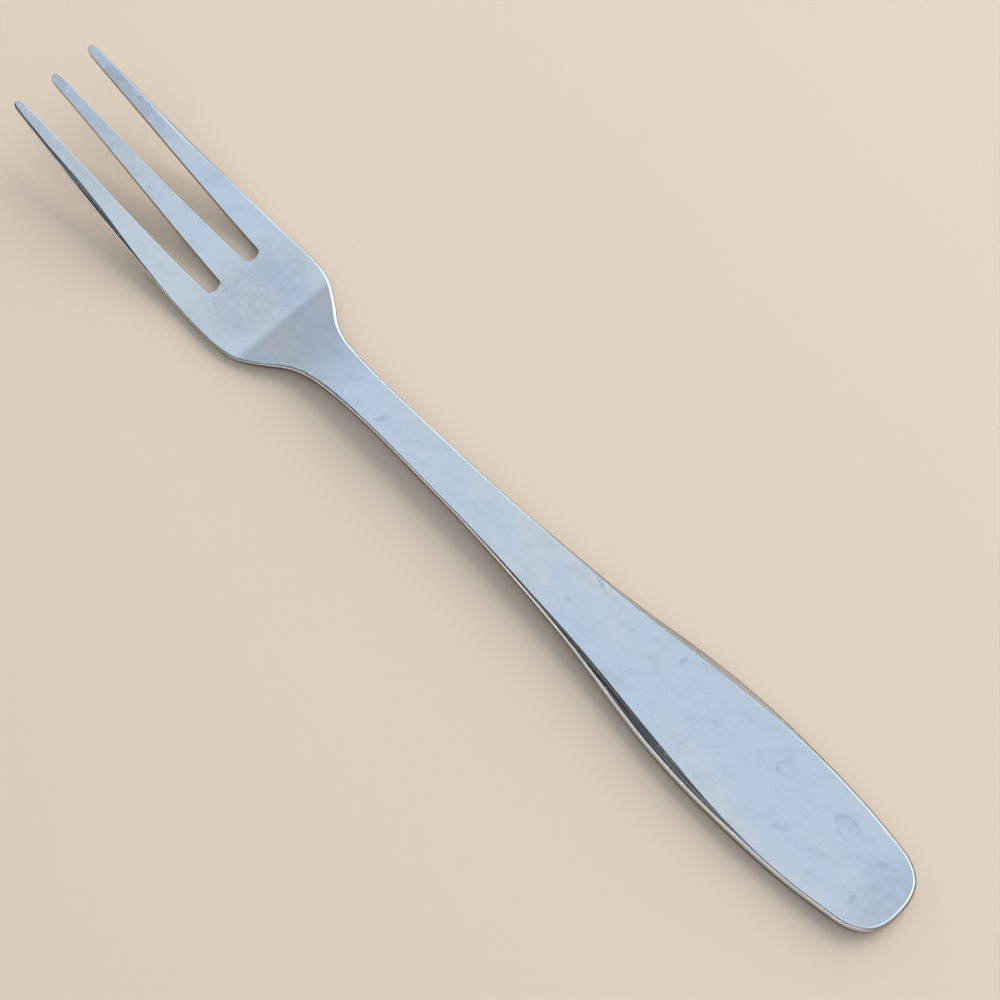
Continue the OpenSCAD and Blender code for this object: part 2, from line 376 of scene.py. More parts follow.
@dataclass
class Fork(ForkSizes):
    """The whole fork. Half of it is shaped as a cage of quads, which is then mirrored and smoothed."""

    name: str = "fork_steel"
    # Small round at the edges of the slots and the tips
    rim_w: float = 0.15
    rim_drop: float = 0.07
    # Bevels of the lines above and below the ground shoulder
    top_bevel_w: float = 0.07
    ledge_bevel_w: float = 0.12
    # Rows behind the tips: distance from the tips, and how far their corners are pulled in
    tip_row_gaps: Shares = ((0, 0.3), (0.4, 0.08), (1.2, 0))
    # How far a tip's corners lie behind its middle, as a share of the width of the tip
    tip_corner_share: float = 0.18
    # Column inside the middle tine: its share of the tine's half width, and of the corner's setback
    mid_inner_share: float = 0.55
    mid_setback_share: float = 0.15
    # How far the column inside an outer tine follows the slant of the tine's outer edge
    side_slant_share: float = 0.4
    # Rows before and after the slots' roots, and how far the corners of a root lie before it
    root_gap: float = 0.95
    root_corner_l: float = 0.45
    # Rows on both sides of the bend from the heel up to the neck
    rise_gap: float = 1.5
    # Where the steep part of the head's narrowing ends, as a share of the whole narrowing
    steep_end_share: float = 0.54
    tine_rows: int = 11
    head_rows: int = 3
    narrow_rows: int = 9
    neck_rows: int = 6
    handle_rows: int = 25
    # Length behind the roots over which the columns spread from the tines' places to even ones
    spread_l: float = 9
    # Steps of the rows into the round of the end, and the angle at which its outer corner lies
    end_turns: Sequence[float] = (0.45, 1)
    corner_turn: float = 45
    # Angle round the end of each column, from the middle outwards
    end_fan: Sequence[float] = (90, 85.5, 80, 74, 66, 57, 45)
    # Number of the middle tine's outer column
    mid_col: int = 2
    # Steps over which the outline's direction is measured, in degrees round the end and along X
    turn_step: float = 1.5
    x_step: float = 0.3
    smooth_levels: int = 2

    def rows(self) -> list[Row]:
        """All rows of the cage, from the tips to the end of the handle.

        Returns:
            The rows, in order.
        """
        def run(start: float, end: float, count: int) -> list[Row]:
            """Even rows from just after start up to end."""
            return [Row(mix(start, end, (i + 1) / count)) for i in range(count)]

        tips = [Row(self.tip_x + gap, pull=pull) for gap, pull in self.tip_row_gaps]
        before_root = self.root_x - self.root_gap
        after_root = self.root_x + self.root_gap
        narrow_x = self.wide_x + self.shoulder_l * self.steep_end_share
        return (
            tips
            + run(tips[-1].x, before_root, self.tine_rows)
            + [Row(self.root_x), Row(after_root)]
            + run(after_root, self.rise_x - self.rise_gap, self.head_rows)
            + [Row(self.rise_x), Row(self.rise_x + self.rise_gap)]
            + run(self.rise_x + self.rise_gap, narrow_x, self.narrow_rows)
            + run(narrow_x, self.neck_x, self.neck_rows)
            + run(self.neck_x, self.round_x, self.handle_rows)
            + [Row(self.round_x, turn=turn) for turn in self.end_turns]
        )

    def outline(self, x: float, turn: float) -> Vector:
        """A point of the outline on the +Y side.

        Args:
            x: place along X, up to the round of the end.
            turn: angle round the end in degrees, or 0 before it.

        Returns:
            The point in the plan.
        """
        if turn <= 0:
            return Vector((x, self.half_w(x)))
        a = math.radians(turn)
        power = 2 / self.end_power
        return Vector((
            self.round_x + self.end_round_l * math.sin(a) ** power,
            self.end_w / 2 * math.cos(a) ** power,
        ))

    def outward(self, x: float, turn: float) -> Vector:
        """Direction out of the steel at a point of the outline.

        Args:
            x: place along X, up to the round of the end.
            turn: angle round the end in degrees, or 0 before it.

        Returns:
            The direction in the plan, of length 1.
        """
        if turn >= QUARTER:
            return Vector((1, 0))
        if turn > 0:
            a, b = [self.outline(x, turn + step) for step in (-self.turn_step, self.turn_step)]
        else:
            a, b = [self.outline(x + step, 0) for step in (-self.x_step, self.x_step)]
        along = (b - a).normalized()
        return Vector((-along.y, along.x))

    def outer_inset(self, level: Level, x: float) -> float:
        """How far inside the outline a line of the outer edge lies.

        Args:
            level: which line of the edge.
            x: place along X, in millimetres.

        Returns:
            The distance in millimetres.
        """
        return {
            Level.TOP: self.spread_w(x) + self.ledge_w(x),
            Level.LEDGE: self.spread_w(x),
            Level.BRIM: 0,
            Level.FOOT: 0,
            Level.UNDER: self.under_edge_w,
        }[level]

    def outer_z(self, level: Level, x: float) -> float:
        """Height of a line of the outer edge.

        Args:
            level: which line of the edge.
            x: place along X, in millimetres.

        Returns:
            The height in millimetres.
        """
        return {
            Level.TOP: self.top_z,
            Level.LEDGE: self.ledge_z,
            Level.BRIM: self.brim_z,
            Level.FOOT: self.foot_z,
            Level.UNDER: self.under_z,
        }[level](x)

    def inner_inset(self, level: Level) -> float:
        """How far inside the steel a line of a slot's or a tip's edge lies."""
        return self.rim_w if level in (Level.TOP, Level.UNDER) else 0

    def inner_z(self, level: Level, x: float) -> float:
        """Height of a line of a slot's or a tip's edge.

        Args:
            level: which line of the edge.
            x: place along X, in millimetres.

        Returns:
            The height in millimetres.
        """
        return {
            Level.TOP: self.top_z(x),
            Level.LEDGE: self.top_z(x) - self.rim_drop,
            Level.BRIM: self.under_z(x) + self.thick(x) / 2,
            Level.FOOT: self.under_z(x) + self.rim_drop,
            Level.UNDER: self.under_z(x),
        }[level]

    def outer_point(self, level: Level, row: Row, turn: float) -> Vector:
        """A point of the outer edge at a row, or at an angle round the end.

        Args:
            level: which line of the edge.
            row: the row.
            turn: angle round the end in degrees, or 0 before it.

        Returns:
            The point in the plan.
        """
        out = self.outward(row.x, turn)
        edge = self.outline(row.x, turn)
        if row.pull > 0:
            inner = self.side_edge(row.x)
            edge.y = mix(edge.y, (edge.y + inner) / 2, row.pull)
        return edge - out * self.outer_inset(level, edge.x)

    def tine_columns(self, level: Level, row: Row) -> list[Vector]:
        """Points across the two tines at a row, from the middle of the middle tine outwards.

        Args:
            level: which line of the edge, or Level.TOP or Level.UNDER for a face.
            row: the row.

        Returns:
            The points in the plan, one for each column.
        """
        rim = self.inner_inset(level)
        tip = row.x <= self.tip_x
        root = row.x == self.root_x
        lead = rim if tip or root else 0
        front = row.x + lead
        edge = self.outer_point(level, row, 0)
        mid = self.mid_edge(row.x) * (1 - row.pull) - rim
        inner = self.side_edge(row.x)
        inner = mix(inner, (inner + self.half_w(row.x)) / 2, row.pull) + rim
        setback = self.mid_tip_w * self.tip_corner_share if tip else 0
        corner = front - self.root_corner_l if root else front + setback
        slant = (edge.x - row.x) * self.side_slant_share
        return [
            Vector((front, 0)),
            Vector((front + setback * self.mid_setback_share, mid * self.mid_inner_share)),
            Vector((corner, mid)),
            Vector((front, (mid + inner) / 2)),
            Vector((corner, inner)),
            Vector((front + slant, (inner + edge.y) / 2)),
            Vector((edge.x + lead + setback, edge.y)),
        ]

    def body_columns(self, level: Level, row: Row) -> list[Vector]:
        """Points across half of the head or handle at a row, from the middle outwards.

        Args:
            level: which line of the edge, or Level.TOP or Level.UNDER for a face.
            row: the row.

        Returns:
            The points in the plan, one for each column.
        """
        if row.turn > 0:
            start = self.body_columns(level, Row(self.round_x))
            end = [self.outer_point(level, row, angle) for angle in self.end_fan]
            points = [a.lerp(b, row.turn) for a, b in zip(start, end)]
            points[-1] = self.outer_point(level, row, self.corner_turn * row.turn)
            return points
        edge = self.outer_point(level, row, 0)
        last = len(self.end_fan) - 1
        shares = [k / last for k in range(last + 1)]
        return [Vector((mix(row.x, edge.x, s * s), edge.y * s)) for s in shares]

    def columns(self, level: Level, row: Row) -> list[Vector]:
        """Points across half of the fork at a row, on the top face or the underside.

        Args:
            level: which line of the edge, or Level.TOP or Level.UNDER for a face.
            row: the row.

        Returns:
            The points in the plan, one for each column.
        """
        if row.x <= self.root_x:
            return self.tine_columns(level, row)
        body = self.body_columns(level, row)
        spread = ease(share(row.x, self.root_x, self.root_x + self.spread_l))
        if spread >= 1:
            return body
        root = self.tine_columns(level, Row(self.root_x))
        scale = body[-1].y / root[-1].y
        tines = [Vector((b.x, a.y * scale)) for a, b in zip(root, body)]
        return [a.lerp(b, spread) for a, b in zip(tines, body)]

    def lifted(self, point: Vector, z: float) -> Vector:
        """A point of the plan at its height, raised by the dish of the tines, in metres."""
        return Vector((point.x, point.y, z + self.dish(point.x, point.y))) * MM

    def place(self, level: Level, row: Row, col: int) -> Vector:
        """Where a point of the top face or of the underside goes, in metres.

        Args:
            level: Level.TOP or Level.UNDER.
            row: the row.
            col: number of the column.

        Returns:
            The place.
        """
        point = self.columns(level, row)[col]
        z = self.top_z(point.x) if level is Level.TOP else self.under_z(point.x)
        return self.lifted(point, z)

    def edge_place(self, level: Level, row: Row, col: int) -> Vector:
        """Where a point of the edge goes, on the outer edge or round a slot or a tip, in metres.

        Args:
            level: which line of the edge.
            row: the row.
            col: number of the column.

        Returns:
            The place.
        """
        if row.x <= self.root_x:
            point = self.tine_columns(level, row)[col]
            if col < self.last_col:
                return self.lifted(point, self.inner_z(level, point.x))
        elif row.turn >= 1:
            point = self.outer_point(level, row, self.end_fan[col])
        else:
            point = self.outer_point(level, row, self.corner_turn * row.turn)
        return self.lifted(point, self.outer_z(level, point.x))

    @property
    def last_col(self) -> int:
        """Number of the outermost column."""
        return len(self.end_fan) - 1

    def edge_path(self, rows: Sequence[Row]) -> list[tuple[int, int]]:
        """The points of the edge, from the middle tine's tip round to the handle's end.

        Args:
            rows: all rows of the cage.

        Returns:
            The row and the column of each point, in order.
        """
        mid, gap, side, outer = self.mid_col, self.mid_col + 1, self.mid_col + 2, self.last_col
        root = [row.x for row in rows].index(self.root_x)
        end = len(rows) - 1
        return (
            [(0, col) for col in range(mid)]
            + [(row, mid) for row in range(root + 1)]
            + [(root, gap)]
            + [(row, side) for row in range(root, -1, -1)]
            + [(0, col) for col in range(side + 1, outer)]
            + [(row, outer) for row in range(end + 1)]
            + [(end, col) for col in range(outer - 1, -1, -1)]
        )

    def in_slot(self, middle: Vector) -> bool:
        """Whether the middle of a face, in metres, lies in a slot."""
        x, y = middle.x / MM, middle.y / MM
        return x < self.root_x and self.mid_edge(x) < y < self.side_edge(x)

    def build(self) -> bpy.types.Object:
        """Shapes the fork.

        Returns:
            The finished piece, at the origin.
        """
        rows = self.rows()
        cage = Cage(self.name, self.length, len(rows), self.last_col + 1)
        spots = [(r, c) for r in range(len(rows)) for c in range(self.last_col + 1)]
        sheet = [cage.table[r][c] for r, c in spots]
        cage.carry(sheet, [self.place(Level.TOP, rows[r], c) for r, c in spots])
        cage.drop_faces(self.in_slot)
        kept = [(v, spot) for v, spot in zip(sheet, spots) if v.is_valid]
        copies = cage.copy_all()
        cage.carry(
            [copies[v] for v, spot in kept],
            [self.place(Level.UNDER, rows[r], c) for v, (r, c) in kept],
        )
        path = self.edge_path(rows)
        line = [cage.table[r][c] for r, c in path]
        lines = {Level.TOP: line}
        for level in list(Level)[1:]:
            line = cage.draw_out(line)
            cage.carry(line, [self.edge_place(level, rows[r], c) for r, c in path])
            lines[level] = line
        first_outer = path.index((0, self.last_col))
        outer = {level: line[first_outer:] for level, line in lines.items()}
        inner = {level: line[:first_outer] for level, line in lines.items()}
        cage.select_line(lines[Level.TOP])
        bpy.ops.mesh.mark_seam()
        cage.select_line(outer[Level.LEDGE])
        bpy.ops.mesh.mark_sharp()
        cage.paint_between(Surface.SHOULDER, outer[Level.TOP], outer[Level.LEDGE])
        cage.paint_between(Surface.SIDE, outer[Level.LEDGE], outer[Level.BRIM])
        cage.paint_between(Surface.WALLS, inner[Level.LEDGE], inner[Level.BRIM])
        cage.paint_between(Surface.WALLS, outer[Level.BRIM], outer[Level.FOOT])
        bevels = {EdgeMark.SEAM: self.top_bevel_w, EdgeMark.SHARP: self.ledge_bevel_w}
        piece = cage.finish(bevels, self.smooth_levels)
        log.info("%s: %d faces from %d rows", piece.name, len(piece.data.polygons), len(rows))
        return piece

    def dress(self, piece: bpy.types.Object) -> None:
        """Gives the piece its polished faces, its ground shoulder, and its ground side and slot walls,
        whose colours hold painted shade and painted highlights.

        Args:
            piece: the finished fork.
        """
        finishes = {
            Surface.FACES: PolishedSteel(),
            # Ground with a belt, which gives the streaks. The darkness of the band is a painted reflection
            # of the dark surroundings and the shaded floor that the steep shoulder mirrors
            Surface.SHOULDER: GroundSteelWithPaintedLight(
                "belt_ground_steel_with_painted_dark_reflection",
                (
                    Zone(-90, -80, -50, -44, -1), Zone(-90, -80, -50, -44, 1, 0.5),
                    Zone(-40, -32, -12, 0, -1, 0.6), Zone(0, 14, 50, 62, -1), Zone(4, 18, 50, 62, 1, 0.55),
                ),
            ),
            # Rubbed satin, which gives the streaks. Outside its zones, along the -Y side up to the middle
            # of the handle and on the +Y tines, it is whiter than the faces: a painted highlight, the soft
            # silver line. In its zones, along the rest of the +Y side, at half strength along the rest of
            # the -Y side, and round the end, it is darker: a painted reflection of the shaded floor
            Surface.SIDE: GroundSteelWithPaintedLight(
                "satin_steel_with_painted_highlight_and_shade",
                (
                    Zone(-44, -34, 90, 100, 1, 0.9), Zone(16, 28, 90, 100, -1, 0.5),
                    Zone(73.2, 74.2, 90, 100, 0, 0.8),
                ),
            ),
            # Punched and then ground, but hardly polished, which gives the streaks. The dull dark grey all
            # along is painted shade: a painted reflection of the shaded floor and surroundings that the
            # walls mirror
            Surface.WALLS: GroundSteelWithPaintedLight(
                "punched_ground_steel_with_painted_shade", (Zone(-100, -90, 90, 100),),
                colour="#6C6E72", light="#97999D", dark="#3E3F42",
            ),
        }
        for surface, finish in finishes.items():
            piece.material_slots[surface.value].material = finish.material()


class Cage:
    """A sheet of quads in edit mode, which operators shape as by hand."""

    BEVEL_STEPS = 2

    def __init__(self, name: str, size: float, rows: int, cols: int) -> None:
        """Adds the flat sheet.

        Args:
            name: name of the piece.
            size: length of the sheet's side, in millimetres.
            rows: rows of points along X.
            cols: columns of points along Y.
        """
        bpy.ops.object.select_all(action="DESELECT")
        bpy.ops.mesh.primitive_grid_add(x_subdivisions=rows - 1, y_subdivisions=cols - 1, size=size * MM)
        self.obj = bpy.context.active_object
        self.obj.name = self.obj.data.name = name
        for _ in Surface:
            bpy.ops.object.material_slot_add()
        bpy.ops.object.mode_set(mode="EDIT")
        bpy.ops.mesh.select_mode(type="VERT")
        self.mesh = bmesh.from_edit_mesh(self.obj.data)
        found = sorted(self.mesh.verts, key=lambda v: (round(v.co.x, DIGITS), v.co.y))
        self.table = [found[r * cols:(r + 1) * cols] for r in range(rows)]

    def carry(self, verts: Sequence[bmesh.types.BMVert], places: Sequence[Vector]) -> None:
        """Moves each point to its place.

        Args:
            verts: the points.
            places: where each of them goes, in metres.
        """
        bpy.ops.mesh.select_all(action="DESELECT")
        for v, to in zip(verts, places):
            v.select_set(True)
            bpy.ops.transform.translate(value=to - v.co)
            v.select_set(False)

    def drop_faces(self, inside: Callable[[Vector], bool]) -> None:
        """Deletes the faces whose middle passes a test.

        Args:
            inside: the test, which gets a middle in metres.
        """
        bpy.ops.mesh.select_mode(type="FACE")
        bpy.ops.mesh.select_all(action="DESELECT")
        for f in self.mesh.faces:
            if inside(f.calc_center_median()):
                f.select_set(True)
        bpy.ops.mesh.delete(type="FACE")
        bpy.ops.mesh.select_mode(type="VERT")

    def copy_all(self) -> dict[bmesh.types.BMVert, bmesh.types.BMVert]:
        """Copies the whole sheet in place and turns the copy over.

        Returns:
            The copy of each point.
        """
        def key(v: bmesh.types.BMVert) -> tuple[float, ...]:
            """The place of a point, rounded."""
            return tuple(round(c, DIGITS) for c in v.co)

        old = {key(v): v for v in self.mesh.verts}
        bpy.ops.mesh.select_all(action="SELECT")
        bpy.ops.mesh.duplicate()
        bpy.ops.mesh.flip_normals()
        return {old[key(v)]: v for v in self.mesh.verts if v.select}

    def draw_out(self, path: Sequence[bmesh.types.BMVert]) -> list[bmesh.types.BMVert]:
        """Extrudes a line of edges in place.

        Args:
            path: the points of the line, in order.

        Returns:
            The new points, in the same order.
        """
        self.select_line(path)
        known = set(self.mesh.verts)
        bpy.ops.mesh.extrude_edges_move()
        new = [v for v in self.mesh.verts if v not in known]
        by_source = {}
        for v in new:
            for e in v.link_edges:
                source = e.other_vert(v)
                if source in known:
                    by_source[source] = v
        return [by_source[v] for v in path]

    def paint_between(
        self, surface: Surface, upper: Sequence[bmesh.types.BMVert], lower: Sequence[bmesh.types.BMVert]
    ) -> None:
        """Gives the faces between two lines the material slot of a surface.

        Args:
            surface: the surface that they belong to.
            upper: the points of the line above them.
            lower: the points of the line below them.
        """
        both = set(upper) | set(lower)
        bpy.ops.mesh.select_mode(type="FACE")
        bpy.ops.mesh.select_all(action="DESELECT")
        for f in self.mesh.faces:
            if both.issuperset(f.verts) and not set(upper).issuperset(f.verts):
                f.select_set(True)
        self.obj.active_material_index = surface.value
        bpy.ops.object.material_slot_assign()
        bpy.ops.mesh.select_mode(type="VERT")

    def select_line(self, path: Sequence[bmesh.types.BMVert]) -> None:
        """Selects the edges of a line of points.

        Args:
            path: the points of the line, in order.
        """
        bpy.ops.mesh.select_all(action="DESELECT")
        for a, b in zip(path, path[1:]):
            self.mesh.edges.get((a, b)).select_set(True)

    def finish(self, bevels: dict[EdgeMark, float], levels: int) -> bpy.types.Object:
        """Closes the half, mirrors it, bevels its marked edges and smooths it.

        Args:
            bevels: the width of the bevel, in millimetres, for each mark on edges.
            levels: how often the cage is divided.

        Returns:
            The finished piece.
        """
        bpy.ops.mesh.select_all(action="SELECT")
        bpy.ops.mesh.remove_doubles(threshold=WELD * MM)
        bpy.ops.object.mode_set(mode="OBJECT")
        bpy.ops.object.modifier_add(type="MIRROR")
        mirror = self.obj.modifiers[-1]
        mirror.use_axis = (False, True, False)
        mirror.merge_threshold = WELD * MM
        bpy.ops.object.modifier_apply(modifier=mirror.name)
        bpy.ops.object.mode_set(mode="EDIT")
        bpy.ops.mesh.select_all(action="SELECT")
        bpy.ops.mesh.normals_make_consistent(inside=False)
        bpy.ops.mesh.select_mode(type="EDGE")
        for mark, width in bevels.items():
            bpy.ops.mesh.select_all(action="DESELECT")
            self.mesh = bmesh.from_edit_mesh(self.obj.data)
            for e in self.mesh.edges:
                e.select_set(e.seam if mark is EdgeMark.SEAM else not e.smooth)
            bpy.ops.mesh.bevel(offset=width * MM, segments=self.BEVEL_STEPS, affect="EDGES")
        bpy.ops.mesh.select_all(action="SELECT")
        bpy.ops.mesh.mark_seam(clear=True)
        bpy.ops.mesh.mark_sharp(clear=True)
        bpy.ops.object.mode_set(mode="OBJECT")
        bpy.ops.object.modifier_add(type="SUBSURF")
        smooth = self.obj.modifiers[-1]
        smooth.levels = smooth.render_levels = levels
        bpy.ops.object.modifier_apply(modifier=smooth.name)
        bpy.ops.object.shade_smooth()
        return self.obj


# Settings that many nodes share
PLUS = {"operation": "ADD"}
MINUS = {"operation": "SUBTRACT"}
TIMES = {"operation": "MULTIPLY"}
OVER = {"operation": "DIVIDE"}
GREATER = {"operation": "MAXIMUM"}
LESSER = {"operation": "MINIMUM"}
SMOOTH = {"interpolation_type": "SMOOTHSTEP"}
TURNED = {"vector_type": "TEXTURE"}
COLOURS = {"data_type": "RGBA"}
# Inputs and output of a node that mixes two colours
FACTOR, FIRST, SECOND, MIXED = 0, 6, 7, 2

Socket = bpy.types.NodeSocket


def linear(colour: str) -> tuple[float, float, float, float]:
    """Turns an sRGB hex colour into a linear one.

    Args:
        colour: the colour, such as #8F9298.

    Returns:
        Red, green, blue and an alpha of 1.
    """
    parts = [int(colour[i:i + 2], 16) / 255 for i in (1, 3, 5)]
    r, g, b = [c / 12.92 if c <= 0.04045 else ((c + 0.055) / 1.055) ** 2.4 for c in parts]
    return r, g, b, 1.0


class Wiring:
    """A material's or the world's tree of nodes."""

    # How strong the finer layers of a cloudy pattern are
    CLOUD_ROUGHNESS = 0.55

    def __init__(self, tree: bpy.types.NodeTree) -> None:
        """Clears the tree."""
        self.tree = tree
        tree.nodes.clear()

    def add(
        self, kind: str, settings: dict | None = None, inputs: dict | Sequence = (), output: int | str = 0
    ) -> Socket | None:
        """Adds a node with its settings and links.

        Args:
            kind: its type, without the ShaderNode in front.
            settings: its properties by name.
            inputs: what each input gets, by its name or in order: a node's output or a value.
            output: name or number of the output that is wanted.

        Returns:
            That output, or None where the node has none.
        """
        node = self.tree.nodes.new("ShaderNode" + kind)
        for name, value in (settings or {}).items():
            setattr(node, name, value)
        for key, source in inputs.items() if isinstance(inputs, dict) else enumerate(inputs):
            if isinstance(source, Socket):
                self.tree.links.new(source, node.inputs[key])
            else:
                node.inputs[key].default_value = source
        return node.outputs[output] if node.outputs else None

    def chain(self, settings: dict, parts: Sequence[Socket]) -> Socket:
        """Joins a row of values by one kind of sum, such as the greatest of them all."""
        return reduce(lambda a, b: self.add("Math", settings, (a, b)), parts)

    def places(self) -> Socket:
        """Places on the piece in millimetres."""
        coords = self.add("TexCoord", output="Object")
        return self.add("Mapping", None, {"Vector": coords, "Scale": (1 / MM,) * 3})

    def clouds(
        self, places: Socket, size: Sequence[float], detail: float, turn: float = 0, offset: float = 0
    ) -> Socket:
        """A cloudy pattern.

        Args:
            places: the places that it reads, in millimetres.
            size: size of its clouds along each axis, in millimetres.
            detail: how many finer layers it has.
            turn: its turn about Z in degrees.
            offset: where it starts.

        Returns:
            A value round 0.5.
        """
        start, angle = (offset, offset, 0), (0, 0, math.radians(turn))
        turned = self.add("Mapping", TURNED, (places, start, angle, size))
        inputs = {"Vector": turned, "Scale": 1.0, "Detail": detail, "Roughness": self.CLOUD_ROUGHNESS}
        return self.add("TexNoise", None, inputs, "Fac")


def new_material(name: str) -> tuple[bpy.types.Material, Wiring]:
    """Makes an empty material.

    Args:
        name: the real material and how its surface was made.

    Returns:
        The material and its wiring.
    """
    made = bpy.data.materials.new(name)
    made.use_nodes = True
    return made, Wiring(made.node_tree)


class MarkKind(Enum):
    """What a mark on the steel looks like."""

    RING = "ring"
    SPOT = "spot"
    SCRATCH = "scratch"


@dataclass(frozen=True)
class Mark:
    """A mark on the steel: a ring or a spot where water dried, a rubbed patch, a fine scratch, or a broad
    spot that darkens and dulls a whole region, which at the bend of the head is painted shade.

    It has its place, its half length and half width in millimetres, and its turn in degrees. Where it
    fades is a share of its half length and half width.
    """

    RING_LINE: ClassVar[Band] = (0.02, 0.2)
    RING_GAP: ClassVar[Fade] = (-0.9, 0.3, 0.2, 1)
    SPOT_RIM: ClassVar[Band] = (0.3, 1.0)
    SCRATCH_RIM: ClassVar[Band] = (0.7, 1.0)

    kind: MarkKind
    x: float
    y: float
    half_l: float
    half_w: float
    turn: float = 0
    strength: float = 1

    def mask(self, w: Wiring, places: Socket) -> Socket:
        """How strongly the mark shows at each place.

        Args:
            w: the material's wiring.
            places: the places that it reads, in millimetres.

        Returns:
            0 off the mark, up to the mark's strength on it.
        """
        middle, angle = (self.x, self.y, 0), (0, 0, math.radians(self.turn))
        local = w.add("Mapping", TURNED, (places, middle, angle, (self.half_l, self.half_w, FLAT)))
        away = w.add("VectorMath", {"operation": "LENGTH"}, (local,), "Value")
        if self.kind is MarkKind.RING:
            away = w.add("Math", {"operation": "ABSOLUTE"}, (w.add("Math", MINUS, (away, 1.0)),))
            line = w.add("MapRange", SMOOTH, (away, *self.RING_LINE, self.strength, 0))
            along = w.add("SeparateXYZ", None, (local,), "X")
            return w.add("Math", TIMES, (line, w.add("MapRange", SMOOTH, (along, *self.RING_GAP))))
        rim = self.SPOT_RIM if self.kind is MarkKind.SPOT else self.SCRATCH_RIM
        return w.add("MapRange", SMOOTH, (away, *rim, self.strength, 0))


@dataclass(frozen=True)
class PolishedSteel:
    """Stainless steel rolled and polished, then used and washed.

    It gives the eye a bright, slightly blurred reflection of the sky, with a faint haze of dried water,
    fine specks and hairline scratches that only show by their softer shine. Broad spots darken and dull
    whole regions; the one at the bend of the head is painted shade.
    """

    name: str = "polished_stainless_steel"
    colour: str = "#D5D6D5"
    # The haze colour serves the dried water, the marks, and the painted shade at the bend of the head
    haze: str = "#9FA4AB"
    blue: str = "#CCD2DA"
    roughness: float = 0.1
    haze_roughness: float = 0.24
    hairline_roughness: float = 0.06
    # Clouds of dried water, and the slow change to a bluer steel
    haze_mm: Sequence[float] = (3.2, 1.92, 3.2)
    haze_band: Band = (0.45, 0.8)
    tint_mm: Sequence[float] = (20, 11, 11)
    tint_band: Band = (0.36, 0.62)
    # Real specks are under 0.1 mm across and real hairlines about 0.01 mm wide. Both are too fine to
    # show, so they are drawn coarser
    speck_mm: Sequence[float] = (0.4, 0.4, 0.4)
    speck_band: Band = (0.63, 0.72)
    speck_place_band: Band = (0.4, 0.6)
    hairline_mm: Sequence[float] = (9, 0.16, 9)
    hairline_turns: Sequence[float] = (12, 78, -38)
    hairline_band: Band = (0.66, 0.72)
    # How far clouds, marks and specks each take the steel towards its haze
    haze_share: float = 0.22
    stain_and_shade_share: float = 0.5
    speck_share: float = 0.28
    # How the edges of the marks wander, and where the marks are worn thin
    wander_mm: Sequence[float] = (0.9, 0.9, 0.9)
    wander_skew: float = -0.6
    worn_fade: Fade = (0.3, 0.5, 0.45, 1)
    # Waves of rolled and polished sheet
    wave_mm: Sequence[float] = (14, 7, 14)
    wave_h: float = 0.006
    marks: Sequence[Mark] = (
        Mark(MarkKind.RING, 54.9, 2.6, 1.2, 0.75, 200, 0.7),
        Mark(MarkKind.RING, 65.0, 2.5, 2.1, 1.1, 170, 0.6),
        Mark(MarkKind.SPOT, 70.4, 2.3, 1.2, 0.8, 20, 0.9),
        Mark(MarkKind.SPOT, 70.5, -3.2, 1.1, 0.7, 70, 0.9),
        Mark(MarkKind.SPOT, 59, -2.9, 1.8, 0.8, 35, 0.6),
        # The next four broad spots darken and dull the end of the handle, the bend of the head, the outer
        # +Y tine and the tines. The one at the bend is painted shade where the steel turns; the others only
        # darken and dull the steel.
        Mark(MarkKind.SPOT, 74, 0, 6, 8, 0, 0.6),
        Mark(MarkKind.SPOT, -36, 0, 8, 12, 0, 0.7),
        Mark(MarkKind.SPOT, -66, 5.6, 10, 2.4, 0, 1.1),
        Mark(MarkKind.SPOT, -78, 0, 30, 24, 0, 0.75),
        Mark(MarkKind.SPOT, 33, -4.6, 3, 1.2, 20, 0.4),
        Mark(MarkKind.SPOT, 37.5, 3.3, 0.9, 0.5, 80, 0.7),
        Mark(MarkKind.SPOT, 22.4, -1.2, 0.8, 0.4, 15, 0.7),
        Mark(MarkKind.SPOT, -38.6, -3.0, 0.8, 0.4, 30, 0.9),
        Mark(MarkKind.SPOT, -36.2, -3.9, 0.6, 0.35, 60, 0.8),
        Mark(MarkKind.SPOT, -39.1, -4.6, 0.5, 0.35, 0, 0.8),
        Mark(MarkKind.SPOT, -10.6, -1.4, 1.3, 0.5, 60, 0.7),
        Mark(MarkKind.SPOT, -72.6, 5.6, 2.2, 0.7, 8, 0.9),
        Mark(MarkKind.SPOT, -67.4, 5.7, 2.6, 0.6, 4, 0.7),
        Mark(MarkKind.SPOT, -72.2, 0, 2.0, 0.6, 0, 0.8),
        Mark(MarkKind.SPOT, -71.8, -5.9, 2.2, 0.6, -6, 0.7),
        Mark(MarkKind.SCRATCH, 22.7, 3.5, 1.5, 0.1, -24, 1.3),
        Mark(MarkKind.SCRATCH, 23.6, 3.4, 1.3, 0.09, -30, 1.2),
        Mark(MarkKind.SCRATCH, 24.2, 3.1, 1.1, 0.09, -20, 1.1),
        Mark(MarkKind.SCRATCH, 46.5, -1.6, 1.8, 0.07, 52, 0.7),
        Mark(MarkKind.SCRATCH, 8.2, 0.9, 1.3, 0.06, 24, 0.6),
    )

    def stained_and_shaded(self, w: Wiring, places: Socket) -> Socket:
        """How strongly the marks show at each place, with edges that wander a little.

        Args:
            w: the material's wiring.
            places: the places that they read, in millimetres.

        Returns:
            0 off the marks, up to their strength on them.
        """
        wander = w.clouds(places, self.wander_mm, 2, offset=3)
        skewed = w.add("Math", TIMES, (wander, self.wander_skew))
        drift = w.add("CombineXYZ", None, (wander, skewed))
        drifted = w.add("VectorMath", PLUS, (places, drift))
        masks = [
            mark.mask(w, places if mark.kind is MarkKind.SCRATCH else drifted) for mark in self.marks
        ]
        worn = w.add("MapRange", SMOOTH, (wander, *self.worn_fade))
        return w.add("Math", TIMES, (w.chain(GREATER, masks), worn))

